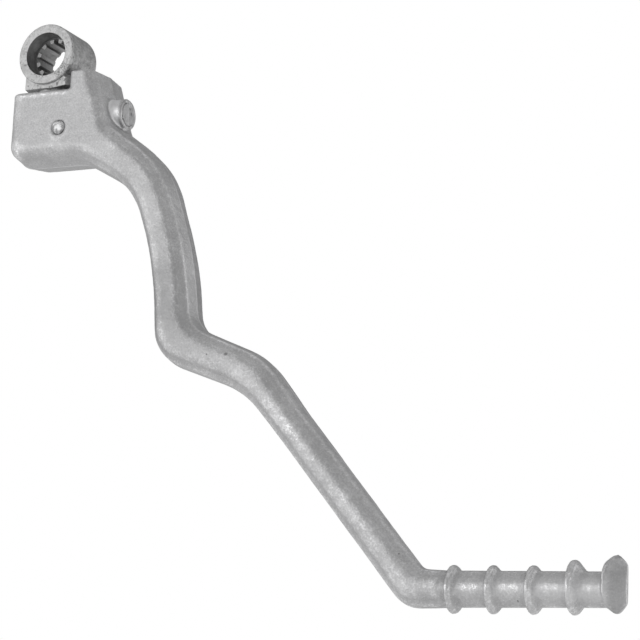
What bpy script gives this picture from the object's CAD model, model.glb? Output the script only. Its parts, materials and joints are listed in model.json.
"""Finish and studio for a folding kick start lever: forged aluminium arm on a splined steel knuckle.

Everything is in metres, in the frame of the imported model: the kick shaft lies along Y, the folding
axis is Z, the arm runs to +X and down, and -Y faces away from the engine.
"""

import json
import math

import bmesh
import bpy
import numpy
from mathutils import Euler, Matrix, Vector, kdtree, noise


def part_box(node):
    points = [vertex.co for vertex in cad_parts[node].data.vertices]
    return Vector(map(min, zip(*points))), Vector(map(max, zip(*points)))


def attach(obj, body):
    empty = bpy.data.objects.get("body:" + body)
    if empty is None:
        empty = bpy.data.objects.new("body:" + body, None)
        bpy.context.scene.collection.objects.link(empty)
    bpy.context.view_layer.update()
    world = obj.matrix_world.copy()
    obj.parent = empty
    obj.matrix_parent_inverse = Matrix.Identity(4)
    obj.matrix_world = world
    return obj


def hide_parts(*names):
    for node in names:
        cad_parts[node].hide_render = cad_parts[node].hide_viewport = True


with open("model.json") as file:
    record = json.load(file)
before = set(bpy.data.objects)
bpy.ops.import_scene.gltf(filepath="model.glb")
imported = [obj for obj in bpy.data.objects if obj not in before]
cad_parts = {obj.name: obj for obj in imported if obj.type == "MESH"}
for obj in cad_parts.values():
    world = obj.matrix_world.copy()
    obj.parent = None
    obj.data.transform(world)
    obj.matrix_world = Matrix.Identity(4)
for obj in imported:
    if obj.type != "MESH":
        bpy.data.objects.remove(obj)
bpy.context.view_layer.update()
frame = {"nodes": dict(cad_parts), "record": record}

bl_info = {
    "name": "Kick Start Lever",
    "version": (1, 0, 0),
    "blender": (4, 5, 0),
    "location": "3D View > Sidebar > Lever",
    "description": "Finishes of a folding kick start lever, and a studio to photograph it in",
    "category": "Object",
}

MM = 0.001

ARM_LOW, ARM_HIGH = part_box("lever_arm")
PIN_LOW, PIN_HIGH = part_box("retaining_pin")
MOUNTS = {mount["name"]: mount for mount in frame["record"]["mounts"]}

# The knuckle: its machined outer ring, the screw's seat in it, and the splined bore behind the seat
RING_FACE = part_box("knuckle")[0].y
RING_SKIN = 1.1 * MM  # how deep the machined look of the ring goes
RING_RIM = 3.4 * MM  # from the edge of the seat out to the ring's nicked rim
RING_SCUFF = (8.2 * MM, RING_FACE, -7.4 * MM)
RING_SCUFF_R = 5.5 * MM
SEAT_R = MOUNTS["screw_seat"]["dims"]["r_mm"] * MM
SEAT_FLOOR = RING_FACE + MOUNTS["screw_seat"]["dims"]["length_mm"] * MM
TEETH_R = 8.4 * MM  # at the roots of the teeth
BARREL_LOW = -11.0 * MM  # the foot starts here

# The arm's head: pocket for the foot, pivot bore, end of the cross pin, and the detent's boss
HEAD_FLOOR = -16.6 * MM
PIVOT_BORE_R = 8.55 * MM
PIVOT_BORE_END = -41.0 * MM
PIN_END = ((PIN_LOW.x + PIN_HIGH.x) / 2, PIN_LOW.y, (PIN_LOW.z + PIN_HIGH.z) / 2)
PIN_CLEAR = 6.0 * MM  # nearer to the pin's end, no edge shows wear
BOSS_FROM = 24.0 * MM
BOSS_END = 34.5 * MM
BOSS_HEIGHT = -25.5 * MM
BOSS_R = 6.28 * MM
BOSS_CLEAR = 8.0 * MM  # nearer to the boss's axis, edges stay crisper
SMEARS_LOW = -40.0 * MM

# The arm and the peg. A distance along the arm is how far a point lies to the right and down, and
# the last two lists say how round the arm's section is, as a share, from the neck to the peg.
NECK_FROM = 60.0 * MM
NECK_BLEND = 16.0 * MM
FLASH_TOP = -17.0 * MM
KNEE = (57.0 * MM, -8.0 * MM, -106.0 * MM)
KNEE_DULL_R = 34.0 * MM
PEG_ROOT = 173.0 * MM
PEG_BLEND = 6.0 * MM
PEG_HEIGHT = MOUNTS["foot_peg"]["pos_m"][2]
PEG_HALF = 6.5 * MM
FLANGE_FROM = 236.0 * MM
ROUND_FROM = [70 * MM, 95 * MM, 120 * MM, 165 * MM, 205 * MM, 360 * MM]
ROUND_SHARE = [1.6, 1.6, 0.9, 0.9, 1.9, 1.9]

# Pits of the blasted skin that the photo shows
PIT_R = 0.9 * MM
PITS = [
    (29.2 * MM, -5.9 * MM, -30.4 * MM),
    (34.5 * MM, 1.0 * MM, -22.9 * MM),
    (34.5 * MM, 2.2 * MM, -24.6 * MM),
    (88.7 * MM, -9.0 * MM, -126.0 * MM),
    (73.5 * MM, -9.6 * MM, -111.3 * MM),
]

# How the forged skin is worked
WALL_LEAN = 0.3  # a side wall's normal has less than this along Y
LEAN_BLEND = 0.4
ROUNDING = 3.0 * MM  # radius of a rounding that counts as fully worn
BEND_PASSES = 8
BROAD_WAVE = 9.0 * MM
FINE_WAVE = 2.2 * MM
FINE_SHIFT = Vector((7.0, 3.0, 5.0))  # so that the two waves don't meet at the origin
IN_AND_OUT = (0.60, -0.62)  # wears edges and keeps the size
INWARDS = (0.5,)


# Shader maths


class Wire:
    """An output socket whose arithmetic adds Math nodes to its tree."""

    def __init__(self, tree, socket):
        self.tree = tree
        self.socket = socket

    def maths(self, operation, *others):
        node = self.tree.nodes.new("ShaderNodeMath")
        node.operation = operation
        for entry, value in zip(node.inputs, (self, *others)):
            plug(self.tree, entry, value)
        return Wire(self.tree, node.outputs[0])

    def __add__(self, other):
        return self.maths("ADD", other)

    __radd__ = __add__

    def __sub__(self, other):
        return self.maths("SUBTRACT", other)

    def __rsub__(self, other):
        return self.maths("MULTIPLY", -1.0) + other

    def __mul__(self, other):
        return self.maths("MULTIPLY", other)

    __rmul__ = __mul__

    def __pow__(self, other):
        return self.maths("POWER", other)

    def __abs__(self):
        return self.maths("ABSOLUTE")


def plug(tree, entry, value):
    """Links a wire to a socket, or sets the socket's value."""
    if isinstance(value, Wire):
        tree.links.new(value.socket, entry)
    else:
        entry.default_value = value


class Graph:
    """A node tree of a material or of the world."""

    def __init__(self, owner):
        owner.use_nodes = True
        self.tree = owner.node_tree
        self.tree.nodes.clear()

    def node(self, kind, settings=None, inputs=None, output=0):
        """Adds a node, sets it, fills its sockets and gives one of its outputs, if it has any."""
        new = self.tree.nodes.new(kind)
        for name, value in (settings or {}).items():
            setattr(new, name, value)
        for name, value in (inputs or {}).items():
            plug(self.tree, new.inputs[name], value)
        return Wire(self.tree, new.outputs[output]) if new.outputs else None

    def place(self):
        """Object coordinates, in metres."""
        return self.node("ShaderNodeTexCoord", output="Object")

    def axes(self, vector):
        """The three parts of a vector."""
        first = self.node("ShaderNodeSeparateXYZ", inputs={0: vector})
        return [Wire(self.tree, socket) for socket in first.socket.node.outputs]

    def noise(self, vector, size, detail=2.0, roughness=0.5):
        """Smooth noise whose lumps are about size across, near 0.5."""
        inputs = {"Vector": vector, "Scale": 1.0 / size, "Detail": detail, "Roughness": roughness}
        return self.node("ShaderNodeTexNoise", inputs=inputs)

    def scaled(self, vector, factors):
        """Coordinates stretched along the axes."""
        return self.node("ShaderNodeVectorMath", {"operation": "MULTIPLY"}, {0: vector, 1: factors})

    def distance(self, vector, point):
        """Distance from a point."""
        settings = {"operation": "DISTANCE"}
        return self.node("ShaderNodeVectorMath", settings, {0: vector, 1: point}, "Value")

    def facing(self, vector, heading):
        """How nearly a unit vector points along a heading: 1 when it does, -1 when it points away."""
        settings = {"operation": "DOT_PRODUCT"}
        unit = tuple(Vector(heading).normalized())
        return self.node("ShaderNodeVectorMath", settings, {0: vector, 1: unit}, "Value")

    def step(self, value, start, end):
        """0 below start, 1 above end, smooth in between; start may be the larger."""
        settings = {"interpolation_type": "SMOOTHSTEP"}
        flipped = start > end
        low, high = (end, start) if flipped else (start, end)
        inputs = {"Value": value, "From Min": low, "From Max": high}
        rise = self.node("ShaderNodeMapRange", settings, inputs)
        return 1.0 - rise if flipped else rise

    def blend(self, factor, first, second):
        """Colour between two colours."""
        settings = {"data_type": "RGBA", "clamp_factor": True}
        inputs = {0: factor, 6: opaque(first), 7: opaque(second)}
        return self.node("ShaderNodeMix", settings, inputs, 2)

    def layered(self, colour, base, layers):
        """Lays lighter and darker shades of a base colour over a colour, each by its own share."""
        for share, brightness in layers:
            colour = self.blend(share, colour, shade(base, brightness))
        return colour


class Finish(Graph):
    """One finish: a material and its surface."""

    def __init__(self, name):
        self.material = bpy.data.materials.new(name)
        super().__init__(self.material)

    def surface(self, colour, roughness, metallic, height, depth):
        """Ends the tree in one surface; height, from 0 to 1, is embossed to a depth."""
        relief = self.node("ShaderNodeBump", inputs={"Strength": 1.0, "Distance": depth, "Height": height})
        inputs = {"Base Color": colour, "Roughness": roughness, "Metallic": metallic, "Normal": relief}
        shader = self.node("ShaderNodeBsdfPrincipled", inputs=inputs)
        self.node("ShaderNodeOutputMaterial", inputs={"Surface": shader})
        return self.material


def opaque(colour):
    """A plain colour with full alpha; a wire stays as it is."""
    return colour if isinstance(colour, Wire) else (*colour, 1.0)


def shade(colour, factor):
    """A colour made lighter or darker."""
    return tuple(min(1.0, part * factor) for part in colour)


def dress(name, material):
    """Gives a node of the frame its finish."""
    piece = frame["nodes"][name]
    piece.data.materials.clear()
    piece.data.materials.append(material)


# Sizes and colours


class LeverFinishes(bpy.types.PropertyGroup):
    """Colours and grain of the lever's metals."""

    arm_colour: bpy.props.FloatVectorProperty(
        name="Arm colour", description="Blasted aluminium of the forging", subtype="COLOR", size=3,
        default=(0.56, 0.56, 0.565), min=0.0, max=1.0,
    )
    arm_roughness: bpy.props.FloatProperty(
        name="Arm roughness", description="Gloss of the forging's skin", subtype="FACTOR",
        default=0.50, min=0.0, max=1.0,
    )
    skin_step: bpy.props.FloatProperty(
        name="Skin step", description="Spacing of the points of the forged skin", subtype="DISTANCE",
        default=0.60 * MM, min=0.3 * MM, max=3 * MM,
    )
    skin_softness: bpy.props.IntProperty(
        name="Skin softness", description="How far the forged skin's edges are worn round",
        default=10, min=0, max=40,
    )
    crown: bpy.props.FloatProperty(
        name="Crown", description="Fall of the arm's front and back at their edges",
        default=1.1 * MM, min=0.0, max=0.003, subtype="DISTANCE", unit="LENGTH",
    )
    crown_width: bpy.props.FloatProperty(
        name="Crown width", description="How far in from the side walls the crown starts",
        default=6.5 * MM, min=0.001, max=0.02, subtype="DISTANCE", unit="LENGTH",
    )
    arm_softness: bpy.props.IntProperty(
        name="Arm softness", description="Passes of rounding between neck and peg",
        default=20, min=0, max=80,
    )
    flange_softness: bpy.props.IntProperty(
        name="Flange softness", description="Passes of rounding on the end flange",
        default=13, min=0, max=80,
    )
    skin_waves: bpy.props.FloatProperty(
        name="Skin waves", description="Depth of the forged skin's shallow waves", subtype="DISTANCE",
        default=0.16 * MM, min=0.0, max=1 * MM,
    )
    arm_grain: bpy.props.FloatProperty(
        name="Arm grain", description="Size of the blasted skin's grains", subtype="DISTANCE",
        default=0.80 * MM, min=0.05 * MM, max=3 * MM,
    )
    parting_line: bpy.props.FloatProperty(
        name="Parting line", description="Half width of the trimmed flash line", subtype="DISTANCE",
        default=0.36 * MM, min=0.0, max=2 * MM,
    )
    knuckle_colour: bpy.props.FloatVectorProperty(
        name="Knuckle colour", description="Dull steel of the knuckle's sides", subtype="COLOR", size=3,
        default=(0.47, 0.47, 0.472), min=0.0, max=1.0,
    )
    knuckle_face_colour: bpy.props.FloatVectorProperty(
        name="Knuckle face colour", description="Machined steel of the knuckle's outer face",
        subtype="COLOR", size=3, default=(0.55, 0.55, 0.55), min=0.0, max=1.0,
    )
    bore_colour: bpy.props.FloatVectorProperty(
        name="Bore colour", description="Oily steel inside the barrel", subtype="COLOR", size=3,
        default=(0.44, 0.44, 0.44), min=0.0, max=1.0,
    )
    pin_colour: bpy.props.FloatVectorProperty(
        name="Pin colour", description="Bright steel of pin and ball", subtype="COLOR", size=3,
        default=(0.58, 0.58, 0.585), min=0.0, max=1.0,
    )
    seal_colour: bpy.props.FloatVectorProperty(
        name="Seal colour", description="Black rubber of the seal", subtype="COLOR", size=3,
        default=(0.02, 0.02, 0.02), min=0.0, max=1.0,
    )


class StudioSettings(bpy.types.PropertyGroup):
    """Floor, light and camera."""

    floor_drop: bpy.props.FloatProperty(
        name="Floor drop", description="Height of the held lever above the floor", subtype="DISTANCE",
        default=0.22, min=0.0, max=2.0,
    )
    floor_colour: bpy.props.FloatVectorProperty(
        name="Floor colour", description="Pale studio floor", subtype="COLOR", size=3,
        default=(0.90, 0.90, 0.90), min=0.0, max=1.0,
    )
    floor_paleness: bpy.props.FloatProperty(
        name="Floor paleness", description="Share of plain white in the floor as the camera sees it",
        subtype="FACTOR", default=0.55, min=0.0, max=1.0,
    )
    key_power: bpy.props.FloatProperty(
        name="Key softbox", description="Main light, from the front left", subtype="POWER", unit="POWER",
        default=1.55, min=0.0, max=200.0,
    )
    back_power: bpy.props.FloatProperty(
        name="Back softbox", description="Light from behind on the right", subtype="POWER", unit="POWER",
        default=3.3, min=0.0, max=200.0,
    )
    fill_power: bpy.props.FloatProperty(
        name="Fill softbox", description="Weak light from the front right",
        subtype="POWER", unit="POWER", default=0.9, min=0.0, max=200.0,
    )
    low_power: bpy.props.FloatProperty(
        name="Low strip", description="Narrow upright light on the left, down to the floor",
        subtype="POWER", unit="POWER", default=0.24, min=0.0, max=200.0,
    )
    top_power: bpy.props.FloatProperty(
        name="Top softbox", description="Light from above, the only one that reaches the floor",
        subtype="POWER", unit="POWER", default=1.0, min=0.0, max=200.0,
    )
    table_light: bpy.props.FloatProperty(
        name="Table light", description="Brightness of the lit floor as gloss sees it",
        default=0.74, min=0.0, max=1.0,
    )
    room_light: bpy.props.FloatProperty(
        name="Room light", description="Brightness of the dim room round the lever",
        default=0.45, min=0.0, max=2.0,
    )
    side_light: bpy.props.FloatProperty(
        name="Side light", description="Brightness that the bright side adds",
        default=0.58, min=0.0, max=2.0,
    )
    dim_behind: bpy.props.FloatProperty(
        name="Dim behind", description="Share of the room light missing straight behind",
        subtype="FACTOR", default=0.20, min=0.0, max=1.0,
    )
    bright_side: bpy.props.FloatVectorProperty(
        name="Bright side", description="Heading of the room's bright side", subtype="DIRECTION", size=3,
        default=(-0.75, -0.45, -0.35),
    )
    dim_left: bpy.props.FloatProperty(
        name="Dim left", description="Share of the room light missing in the dim corner",
        subtype="FACTOR", default=0.40, min=0.0, max=1.0,
    )
    dim_corner: bpy.props.FloatVectorProperty(
        name="Dim corner", description="Heading of the room's dim corner, behind on the left",
        subtype="DIRECTION", size=3, default=(-0.70, 0.70, 0.10),
    )
    camera_place: bpy.props.FloatVectorProperty(
        name="Camera place", description="Where the camera stands", subtype="TRANSLATION", unit="LENGTH",
        size=3, default=(0.4651, -0.7284, -0.2760),
    )
    camera_heading: bpy.props.FloatProperty(
        name="Camera heading", description="Turn of the camera round the vertical", subtype="ANGLE",
        default=math.radians(25.170),
    )
    camera_rise: bpy.props.FloatProperty(
        name="Camera rise", description="Upward tilt of the view", subtype="ANGLE",
        default=math.radians(11.470),
    )
    camera_roll: bpy.props.FloatProperty(
        name="Camera roll", description="Roll about the line of sight", subtype="ANGLE",
        default=math.radians(2.695),
    )
    lens: bpy.props.FloatProperty(
        name="Lens", description="Focal length on a 36 mm sensor", subtype="DISTANCE_CAMERA",
        default=123.75, min=10.0, max=500.0,
    )


# Finishes


class ArmFinish(Finish):
    """Blasted aluminium: sparkling grain, soft clouds, worn edges, dull hollows, nicks and pits."""

    def __init__(self, name, sizes):
        super().__init__(name)
        self.sizes = sizes
        self.spot = self.place()
        self.across, self.deep, self.up = self.axes(self.spot)
        self.clouds = self.noise(self.spot, 12 * MM, 4.0, 0.6)
        self.mottle = self.noise(self.spot, 2.4 * MM, 3.0, 0.65)
        self.grain = self.noise(self.spot, sizes.arm_grain, 2.0, 0.6)

    def wear(self):
        """Scuffed roundings and dull hollows, by how sharply the skin turns."""
        bend = self.node("ShaderNodeAttribute", {"attribute_name": "bend"}, output="Fac")
        scuffs = self.step(self.mottle * 0.5 + self.grain * 0.5, 0.50, 0.60)
        worn = self.step(bend + (self.clouds - 0.5) * 0.8, 0.25, 0.85) * (scuffs * 0.7 + 0.3)
        worn = worn * self.step(self.distance(self.spot, PIN_END), 0.6 * PIN_CLEAR, PIN_CLEAR)
        hollow = self.step(bend + (self.mottle - 0.5) * 0.3, -0.25, -0.80)
        return worn, hollow

    def boss_marks(self):
        """The rubbed side of the boss, and the smears on its end."""
        rise = self.up - BOSS_HEIGHT
        radius = (self.deep * self.deep + rise * rise) ** 0.5
        rubbed = self.step(radius, BOSS_R + 0.5 * MM, BOSS_R + 0.1 * MM)
        rubbed = rubbed * self.step(self.across, BOSS_FROM, BOSS_FROM + 2 * MM)
        rubbed = rubbed * self.step(self.across, BOSS_END - 1 * MM, BOSS_END - 2 * MM)
        smears = self.step(self.across, BOSS_END - 0.6 * MM, BOSS_END - 0.3 * MM)
        smears = smears * self.step(self.up, SMEARS_LOW, SMEARS_LOW + 2 * MM)
        blots = self.noise(self.scaled(self.spot, (1.0, 1.0, 0.5)), 2.6 * MM, 2.0)
        return rubbed, smears * self.step(blots, 0.50, 0.60)

    def arm_marks(self):
        """The front of the peg that boots polish, and the dull knee and end flange."""
        polished = self.step(self.across, PEG_ROOT, FLANGE_FROM)
        polished = polished * self.step(abs(self.up - PEG_HEIGHT), PEG_HALF, 0.3 * PEG_HALF)
        polished = polished * self.step(self.across, FLANGE_FROM + 3 * MM, FLANGE_FROM + 1 * MM)
        from_knee = self.distance(self.spot, KNEE) + (self.clouds - 0.5) * 8 * MM
        dull = self.step(from_knee, KNEE_DULL_R, 0.0)
        dull = dull + self.step(self.across, FLANGE_FROM + 1 * MM, FLANGE_FROM + 4 * MM) * 0.60
        return polished, dull

    def flash(self):
        """The broken trace of the parting line, from below the pocket down."""
        half = self.sizes.parting_line
        line = self.step(abs(self.deep), half * 1.6, half * 0.6)
        line = line * self.step(self.clouds, 0.32, 0.44)
        return line * self.step(self.up, FLASH_TOP, FLASH_TOP - 2 * MM)

    def pits(self):
        """Small nicks all over, and a few larger pits."""
        nicks = self.noise(self.scaled(self.spot, (1.0, 0.7, 0.5)), 1.6 * MM, 1.0)
        pits = self.step(nicks, 0.77, 0.83)
        for pit in PITS:
            pits = pits + self.step(self.distance(self.spot, pit), PIT_R, 0.4 * PIT_R)
        return pits

    def made(self):
        """The material, with its marks laid one over another from the grain up to the pits."""
        metal = self.sizes.arm_colour
        worn, hollow = self.wear()
        rubbed, smears = self.boss_marks()
        polished, dull = self.arm_marks()
        pits = self.pits()
        sparkle = self.step(self.noise(self.spot, 0.62 * self.sizes.arm_grain, 1.0), 0.62, 0.72)
        tone = self.clouds * 0.30 + self.mottle * 0.28 + self.grain * 0.42
        colour = self.blend(self.step(tone, 0.38, 0.62), shade(metal, 0.86), shade(metal, 1.10))
        layers = (
            (sparkle * (0.50 + worn * 0.50), 1.55),
            (hollow * 0.22, 0.55),
            (rubbed * 0.90, 1.55),
            (polished * 0.45, 1.45),
            (dull * 0.75, 0.62),
            (worn * 0.72, 1.55),
            (self.flash() * 0.55, 1.50),
            (smears * 0.30, 0.40),
            (pits * 0.7, 0.32),
        )
        colour = self.layered(colour, metal, layers)
        roughness = self.sizes.arm_roughness + (self.mottle - 0.5) * 0.30 - worn * 0.27 + hollow * 0.08
        height = self.grain * 0.5 + self.mottle * 0.5 - pits * 0.5
        return self.surface(colour, roughness, 1.0, height, 0.25 * MM)


class KnuckleFinish(Finish):
    """Dull, stained steel with a nicked outer ring and a dark oily bore with bright tooth ends."""

    def __init__(self, sizes):
        super().__init__("knuckle_steel")
        self.sizes = sizes
        self.spot = self.place()
        across, self.deep, self.up = self.axes(self.spot)
        self.radius = (across * across + self.up * self.up) ** 0.5
        self.clouds = self.noise(self.spot, 6 * MM, 4.0, 0.65)
        self.mottle = self.noise(self.spot, 1.5 * MM, 3.0, 0.65)
        self.grain = self.noise(self.spot, 0.6 * MM, 2.0, 0.6)
        self.nicks = self.step(self.noise(self.spot, 1.1 * MM, 2.0, 0.6), 0.59, 0.67)
        skin_end = RING_FACE + RING_SKIN
        self.outer_face = self.step(self.deep, skin_end + 0.2 * MM, skin_end)

    def dirt(self):
        """Dark nicks, most of them on the ring's rim, and one scuff on the ring."""
        rim = self.outer_face * self.step(self.radius, SEAT_R + RING_RIM - 0.8 * MM, SEAT_R + RING_RIM)
        rubs = self.noise(self.scaled(self.spot, (1.0, 1.0, 1.6)), 0.9 * MM, 2.0, 0.7)
        scuff = self.step(self.distance(self.spot, RING_SCUFF), RING_SCUFF_R, 0.4 * RING_SCUFF_R)
        scuff = scuff * self.step(rubs, 0.47, 0.60)
        return self.nicks * 0.45 + self.nicks * rim * 0.35 + scuff * 0.75

    def outside(self):
        """Colour of the machined ring and of the duller sides."""
        tone = self.clouds * 0.4 + self.mottle * 0.35 + self.grain * 0.25
        light = self.step(tone, 0.38, 0.62)
        steel, ring = self.sizes.knuckle_colour, self.sizes.knuckle_face_colour
        side = self.blend(light, shade(steel, 0.70), shade(steel, 1.18))
        face = self.blend(light, shade(ring, 0.80), shade(ring, 1.16))
        colour = self.blend(self.outer_face, side, face)
        return self.blend(self.dirt(), colour, shade(steel, 0.30))

    def inside(self):
        """Colour of the oily bore, more even on the teeth."""
        oily = self.sizes.bore_colour
        tips = self.step(self.radius, TEETH_R - 0.5 * MM, TEETH_R - 1.3 * MM)
        colour = self.blend(self.mottle, shade(oily, 0.45), shade(oily, 0.95))
        return self.blend(tips, colour, shade(oily, 0.85))

    def made(self):
        """The material: outside, bore and tooth ends."""
        bore = self.step(self.radius, SEAT_R + 0.15 * MM, SEAT_R)
        bore = bore * self.step(self.up, BARREL_LOW, BARREL_LOW + 1 * MM)
        ends = self.step(abs(self.deep - SEAT_FLOOR), 0.12 * MM, 0.06 * MM)
        ends = ends * self.step(self.radius, TEETH_R, 0.98 * TEETH_R) * bore
        colour = self.blend(bore, self.outside(), self.inside())
        colour = self.blend(ends, colour, (0.95, 0.95, 0.95))
        roughness = 0.50 + (self.clouds - 0.5) * 0.25 - self.outer_face * 0.05
        height = self.grain * 0.4 + self.mottle * 0.6 - self.nicks * 0.5
        return self.surface(colour, roughness, 1.0 - ends * 0.95, height, 0.16 * MM)


def bright_steel_finish(sizes):
    """Ground steel with fine scratches, for pin and ball."""
    steel = Finish("bright_steel")
    place = steel.place()
    scratches = steel.noise(steel.scaled(place, (6.0, 1.0, 1.0)), 0.6 * MM, 3.0, 0.7)
    stain = steel.noise(place, 1.6 * MM, 2.0)
    relief = stain * 0.6 + scratches * 0.4
    dark, light = shade(sizes.pin_colour, 0.60), shade(sizes.pin_colour, 1.60)
    colour = steel.blend(steel.step(relief, 0.40, 0.60), dark, light)
    return steel.surface(colour, 0.36 + scratches * 0.14, 1.0, relief, 0.20 * MM)


def spring_finish(sizes):
    """Drawn spring wire with a dull skin."""
    wire = Finish("spring_wire")
    stain = wire.noise(wire.place(), 0.8 * MM, 3.0)
    colour = wire.blend(stain, shade(sizes.knuckle_colour, 0.9), shade(sizes.knuckle_colour, 1.5))
    return wire.surface(colour, 0.34 + stain * 0.12, 1.0, stain, 0.02 * MM)


def seal_finish(sizes):
    """Black rubber with a faint bloom."""
    rubber = Finish("seal_rubber")
    bloom = rubber.noise(rubber.place(), 0.7 * MM, 3.0)
    pale = shade(sizes.seal_colour, 2.5)
    colour = rubber.blend(rubber.step(bloom, 0.45, 0.75), sizes.seal_colour, pale)
    return rubber.surface(colour, 0.55 + bloom * 0.2, 0.0, bloom, 0.02 * MM)


# Shape of the forged skin


def welded_copy(node, name):
    """A copy of a node's mesh with its triangles joined, as an object of its own."""
    mesh = node.data.copy()
    shell = bmesh.new()
    shell.from_mesh(mesh)
    bmesh.ops.remove_doubles(shell, verts=shell.verts, dist=0.001 * MM)
    shell.to_mesh(mesh)
    shell.free()
    copy = bpy.data.objects.new(name, mesh)
    bpy.context.scene.collection.objects.link(copy)
    return copy


def modified(piece, name):
    """Mesh of a piece with its modifiers applied."""
    bpy.context.view_layer.update()
    evaluated = piece.evaluated_get(bpy.context.evaluated_depsgraph_get())
    mesh = bpy.data.meshes.new_from_object(evaluated)
    mesh.name = name
    return mesh


def ramp(values, start, width):
    """0 up to a start, then rising evenly to 1 over a width."""
    return numpy.clip((values - start) / width, 0.0, 1.0)


def cast_share(point):
    """1 on the forging's own skin, fading to 0 at the pocket, and 0 in the bore and on the boss's end."""
    in_bore = math.hypot(point.x, point.y) <= PIVOT_BORE_R + 1 * MM and point.z >= PIVOT_BORE_END
    on_boss_end = point.x >= BOSS_END - 1 * MM and point.z >= BOSS_HEIGHT - BOSS_CLEAR
    if in_bore or on_boss_end:
        return 0.0
    return min(1.0, max(0.0, (HEAD_FLOOR - point.z) / (2 * MM)))


def waves(point):
    """Shallow unevenness of a forged skin, from 0 to 1, and 0 on the parting line."""
    broad = noise.noise(point / BROAD_WAVE)
    fine = noise.noise(point / FINE_WAVE + FINE_SHIFT)
    return min(1.0, max(0.0, 0.5 + 0.6 * broad + 0.3 * fine)) * min(1.0, abs(point.y) / MM)


def around(values, ends):
    """Mean of each point's neighbours."""
    first, second = ends[:, 0], ends[:, 1]
    total = numpy.zeros_like(values)
    numpy.add.at(total, first, values[second])
    numpy.add.at(total, second, values[first])
    return total / numpy.bincount(ends.ravel(), minlength=len(values)).clip(1)[:, None]


def softened(places, ends, share, passes, pulls):
    """Points drawn to their neighbours' mean by each pull in turn; a pull below 0 drives them out."""
    for _ in range(passes):
        for pull in pulls:
            places = places + (around(places, ends) - places) * pull * share[:, None]
    return places


def along(places):
    """How far along the arm each point lies: to the right and down."""
    return places[:, 0] - places[:, 2]


def roundness(places):
    """How round the arm's section is: most at the neck and on the shin, least on the bow."""
    return numpy.interp(along(places), ROUND_FROM, ROUND_SHARE)


def crowned(places, normals, sizes):
    """Depths by which the front and back of the arm fall away towards their edges."""
    walls = places[abs(normals[:, 1]) < WALL_LEAN]
    tree = kdtree.KDTree(len(walls))
    for index, place in enumerate(walls):
        tree.insert(place, index)
    tree.balance()
    to_wall = numpy.array([tree.find(place)[2] for place in places])
    on_arm = ramp(along(places), NECK_FROM, NECK_BLEND)
    on_peg = ramp(places[:, 0], PEG_ROOT, PEG_BLEND)
    faces = ramp(abs(normals[:, 1]), WALL_LEAN, LEAN_BLEND)
    round_share = roundness(places)
    reach = sizes.crown_width * round_share ** 0.5
    arm = round_share * numpy.clip(1.0 - to_wall / reach, 0.0, 1.0) ** 2
    peg = numpy.clip(abs(places[:, 2] - PEG_HEIGHT) / PEG_HALF, 0.0, 1.0) ** 2
    return sizes.crown * on_arm * (arm * (1.0 - on_peg) + peg * on_peg) * faces


def turning(places, ends, normals):
    """How sharply the skin turns: 1 on a rounding of the set radius, 0 where flat, below 0 in a hollow."""
    stride = numpy.linalg.norm(places[ends[:, 0]] - places[ends[:, 1]], axis=1).mean()
    bulge = ((places - around(places, ends)) * normals).sum(axis=1, keepdims=True)
    # On a rounding of radius r, a point stands stride ** 2 / (4 * r) proud of its neighbours' mean
    bend = 4 * bulge / stride ** 2 * ROUNDING
    for _ in range(BEND_PASSES):
        bend = around(bend, ends)
    return numpy.clip(bend[:, 0], -1.0, 1.0)


# Operators


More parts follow.
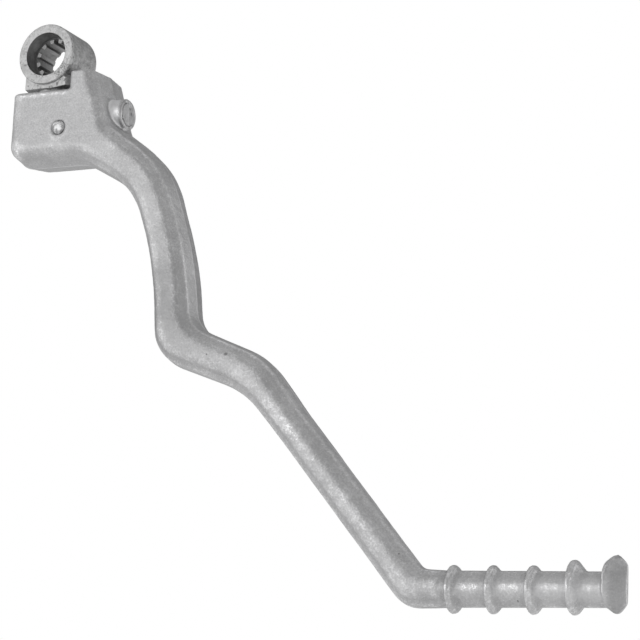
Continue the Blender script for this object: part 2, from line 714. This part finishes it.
class ForgeSkin(bpy.types.Operator):
    """Lay a dense, softly worn forged skin over the arm"""

    bl_idname = "lever.forge_skin"
    bl_label = "Forge Skin"

    def execute(self, context):
        sizes = context.scene.lever_finishes
        form = welded_copy(frame["nodes"]["lever_arm"], "arm_form")
        skin = bpy.data.objects.new("forged_arm", form.data.copy())
        context.scene.collection.objects.link(skin)
        remesh = skin.modifiers.new("points", "REMESH")
        remesh.mode = "VOXEL"
        remesh.voxel_size = sizes.skin_step
        remesh.use_smooth_shade = True
        seat = skin.modifiers.new("seat", "SHRINKWRAP")
        seat.target = form
        seat.wrap_method = "NEAREST_SURFACEPOINT"
        skin.data = self.worn(skin, sizes)
        skin.modifiers.clear()
        bpy.data.objects.remove(form)
        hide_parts("lever_arm")
        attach(skin, "lever_body")
        return {"FINISHED"}

    def worn(self, skin, sizes):
        """The dense mesh, with its cast parts softened, crowned and let in by shallow waves."""
        mesh = modified(skin, "forged_arm")
        places, ends = self.points_and_edges(mesh)
        share = numpy.array([cast_share(Vector(place)) for place in places])
        places = self.eased(places, ends, share, sizes)
        on_flange = ramp(places[:, 0], FLANGE_FROM, 1 * MM)
        places = softened(places, ends, share * on_flange, sizes.flange_softness, INWARDS)
        normals = self.laid(mesh, places)
        places = places - normals * (crowned(places, normals, sizes) * share)[:, None]
        inset = numpy.array([waves(Vector(place)) for place in places]) * sizes.skin_waves * share
        normals = self.laid(mesh, places)
        bend = mesh.attributes.new("bend", "FLOAT", "POINT")
        shown = turning(places, ends, normals) * share * (1.0 - 0.6 * on_flange)
        bend.data.foreach_set("value", shown)
        self.laid(mesh, places - normals * inset[:, None])
        return mesh

    def points_and_edges(self, mesh):
        """The mesh's points, and the two points of each edge."""
        places = numpy.empty(len(mesh.vertices) * 3)
        mesh.vertices.foreach_get("co", places)
        ends = numpy.empty(len(mesh.edges) * 2, dtype=numpy.int32)
        mesh.edges.foreach_get("vertices", ends)
        return places.reshape(-1, 3), ends.reshape(-1, 2)

    def eased(self, places, ends, share, sizes):
        """Edges worn round: a little all over, less on the boss, more on the arm and the peg's root."""
        from_boss = numpy.hypot(places[:, 1], places[:, 2] - BOSS_HEIGHT)
        off_boss = (from_boss > BOSS_CLEAR) | (places[:, 0] < BOSS_FROM)
        all_over = share * numpy.where(off_boss, 1.0, 0.3)
        places = softened(places, ends, all_over, sizes.skin_softness, IN_AND_OUT)
        on_arm = ramp(along(places), NECK_FROM, NECK_BLEND)
        on_arm = on_arm * numpy.clip((PEG_ROOT - places[:, 0]) / (2 * PEG_BLEND), 0.0, 1.0)
        rounded = share * on_arm * roundness(places) / 2
        places = softened(places, ends, rounded, sizes.arm_softness, INWARDS)
        on_root = numpy.clip(1.6 - abs(places[:, 0] - PEG_ROOT) / PEG_BLEND, 0.0, 1.0)
        return softened(places, ends, share * on_root, 4 * sizes.skin_softness, IN_AND_OUT)

    def laid(self, mesh, places):
        """Puts the mesh's points in place and gives their normals."""
        mesh.vertices.foreach_set("co", places.ravel())
        mesh.update()
        normals = numpy.empty(places.size)
        mesh.vertices.foreach_get("normal", normals)
        return normals.reshape(places.shape)


class FinishArm(bpy.types.Operator):
    """Give the forged arm and the plug in its boss their blasted aluminium skin"""

    bl_idname = "lever.finish_arm"
    bl_label = "Finish Arm"

    def execute(self, context):
        sizes = context.scene.lever_finishes
        dress("detent_plug", ArmFinish("plug_aluminium", sizes).made())
        skin = bpy.data.objects["forged_arm"].data
        skin.materials.clear()
        skin.materials.append(ArmFinish("blasted_aluminium", sizes).made())
        return {"FINISHED"}


class FinishKnuckle(bpy.types.Operator):
    """Give the splined knuckle its steel"""

    bl_idname = "lever.finish_knuckle"
    bl_label = "Finish Knuckle"

    def execute(self, context):
        dress("knuckle", KnuckleFinish(context.scene.lever_finishes).made())
        return {"FINISHED"}


class FinishSmallParts(bpy.types.Operator):
    """Give pin, ball, spring and seal their finishes"""

    bl_idname = "lever.finish_small_parts"
    bl_label = "Finish Small Parts"

    def execute(self, context):
        sizes = context.scene.lever_finishes
        steel = bright_steel_finish(sizes)
        for name in ("retaining_pin", "detent_ball"):
            dress(name, steel)
        dress("detent_spring", spring_finish(sizes))
        dress("pivot_seal", seal_finish(sizes))
        return {"FINISHED"}


def softbox(name, place, aim, size, power):
    """A rectangular lamp at a place, turned to face a point and unseen by the camera."""
    light = bpy.data.lights.new(name, "AREA")
    light.shape = "RECTANGLE"
    light.size, light.size_y = size
    light.energy = power
    lamp = bpy.data.objects.new(name, light)
    lamp.location = place
    lamp.visible_camera = False
    lamp.rotation_euler = (Vector(aim) - Vector(place)).to_track_quat("-Z", "Y").to_euler()
    bpy.context.scene.collection.objects.link(lamp)
    return lamp


class BuildStudio(bpy.types.Operator):
    """Build the floor, the light and the camera"""

    bl_idname = "lever.build_studio"
    bl_label = "Build Studio"

    def execute(self, context):
        studio = context.scene.lever_studio
        floor = self.floor(studio)
        self.room(context.scene, studio)
        middle = (ARM_LOW + ARM_HIGH) / 2
        key = softbox("key_softbox", (-0.45, -1.20, 0.10), middle, (0.8, 1.0), studio.key_power)
        back = softbox("back_softbox", (1.30, 0.62, 0.15), middle, (0.7, 1.2), studio.back_power)
        fill = softbox("fill_softbox", (1.20, -0.60, 0.10), middle, (0.7, 1.2), studio.fill_power)
        low = softbox("low_softbox", (-0.42, -0.28, -0.42), middle, (0.16, 0.7), studio.low_power)
        softbox("top_softbox", (0.10, 0.00, 1.20), middle, (1.2, 1.2), studio.top_power)
        self.spare_floor(floor, (key, back, fill, low))
        self.camera(context.scene, studio)
        return {"FINISHED"}

    def floor(self, studio):
        """A wide floor, well below the lever."""
        height = ARM_LOW.z - studio.floor_drop
        half = 4.0
        outline = [(-half, -half), (half, -half), (half, half), (-half, half)]
        mesh = bpy.data.meshes.new("floor")
        mesh.from_pydata([(across, deep, height) for across, deep in outline], [], [(0, 1, 2, 3)])
        floor = bpy.data.objects.new("floor", mesh)
        bpy.context.scene.collection.objects.link(floor)
        mesh.materials.append(self.floor_paint(studio))
        return floor

    def spare_floor(self, floor, lamps):
        """Keeps the light of lamps that stand low or reach through the floor off it, so that it is even."""
        spared = bpy.data.collections.new("spared_by_side_lights")
        spared.objects.link(floor)
        spared.collection_objects[0].light_linking.link_state = "EXCLUDE"
        for lamp in lamps:
            lamp.light_linking.receiver_collection = spared

    def floor_paint(self, studio):
        """Matt paint, paler to the camera, a lit white table to gloss, and clear from below."""
        paint = Finish("studio_floor")
        speckle = paint.noise(paint.place(), 0.02, 2.0)
        colour = paint.blend(speckle, shade(studio.floor_colour, 0.98), shade(studio.floor_colour, 1.02))
        gloss = paint.node("ShaderNodeLightPath", output="Is Glossy Ray")
        matt = paint.node("ShaderNodeBsdfPrincipled", inputs={"Base Color": colour, "Roughness": 0.7})
        seen = paint.node("ShaderNodeLightPath", output="Is Camera Ray")
        brightness = seen * (1.0 - studio.table_light) + studio.table_light
        lit = paint.node("ShaderNodeEmission", inputs={"Strength": brightness})
        share = gloss + seen * studio.floor_paleness
        above = paint.node("ShaderNodeMixShader", inputs={0: share, 1: matt, 2: lit})
        below = paint.node("ShaderNodeNewGeometry", output="Backfacing")
        clear = paint.node("ShaderNodeBsdfTransparent")
        surface = paint.node("ShaderNodeMixShader", inputs={0: below, 1: above, 2: clear})
        paint.node("ShaderNodeOutputMaterial", inputs={"Surface": surface})
        return paint.material

    def room(self, scene, studio):
        """A room with one bright side, dimmer behind and in one corner, and white to the camera."""
        world = bpy.data.worlds.new("studio_room")
        scene.world = world
        room = Graph(world)
        heading = room.node("ShaderNodeTexCoord", output="Generated")
        behind = room.step(room.axes(heading)[1], 0.3, 1.0)
        corner = room.step(room.facing(heading, studio.dim_corner), 0.5, 1.0)
        side = room.step(room.facing(heading, studio.bright_side), 0.1, 1.0)
        dimmed = behind * studio.dim_behind + corner * studio.dim_left
        glow = studio.room_light * (1.0 - dimmed) + side * studio.side_light
        seen = room.node("ShaderNodeLightPath", output="Is Camera Ray")
        strength = glow + seen * (1.0 - glow)
        inputs = {"Color": (1.0, 1.0, 1.0, 1.0), "Strength": strength}
        light = room.node("ShaderNodeBackground", inputs=inputs)
        room.node("ShaderNodeOutputWorld", inputs={"Surface": light})

    def camera(self, scene, studio):
        """A camera that stands where the photo's did, and plain view settings."""
        data = bpy.data.cameras.new("camera")
        data.sensor_width = 36.0
        data.lens = studio.lens
        data.clip_start = 0.01
        camera = bpy.data.objects.new("camera", data)
        camera.location = studio.camera_place
        upright = Euler((math.pi / 2 + studio.camera_rise, 0.0, studio.camera_heading)).to_matrix()
        roll = Euler((0.0, 0.0, studio.camera_roll)).to_matrix()
        camera.rotation_euler = (upright @ roll).to_euler()
        scene.collection.objects.link(camera)
        scene.camera = camera
        scene.view_settings.view_transform = "Standard"


class LeverPanel(bpy.types.Panel):
    """Steps that finish and light the lever"""

    bl_idname = "VIEW3D_PT_kick_start_lever"
    bl_label = "Kick Start Lever"
    bl_space_type = "VIEW_3D"
    bl_region_type = "UI"
    bl_category = "Lever"

    def draw(self, context):
        for settings in (context.scene.lever_finishes, context.scene.lever_studio):
            column = self.layout.column()
            for name in settings.__annotations__:
                column.prop(settings, name)
        for operator in OPERATORS:
            self.layout.operator(operator.bl_idname)


OPERATORS = (ForgeSkin, FinishArm, FinishKnuckle, FinishSmallParts, BuildStudio)
CLASSES = (LeverFinishes, StudioSettings, *OPERATORS, LeverPanel)


def register():
    for item in CLASSES:
        bpy.utils.register_class(item)
    bpy.types.Scene.lever_finishes = bpy.props.PointerProperty(type=LeverFinishes)
    bpy.types.Scene.lever_studio = bpy.props.PointerProperty(type=StudioSettings)


def unregister():
    del bpy.types.Scene.lever_studio
    del bpy.types.Scene.lever_finishes
    for item in reversed(CLASSES):
        bpy.utils.unregister_class(item)


def main():
    register()
    bpy.ops.lever.forge_skin()
    bpy.ops.lever.finish_arm()
    bpy.ops.lever.finish_knuckle()
    bpy.ops.lever.finish_small_parts()
    bpy.ops.lever.build_studio()


if __name__ == "__main__":
    main()
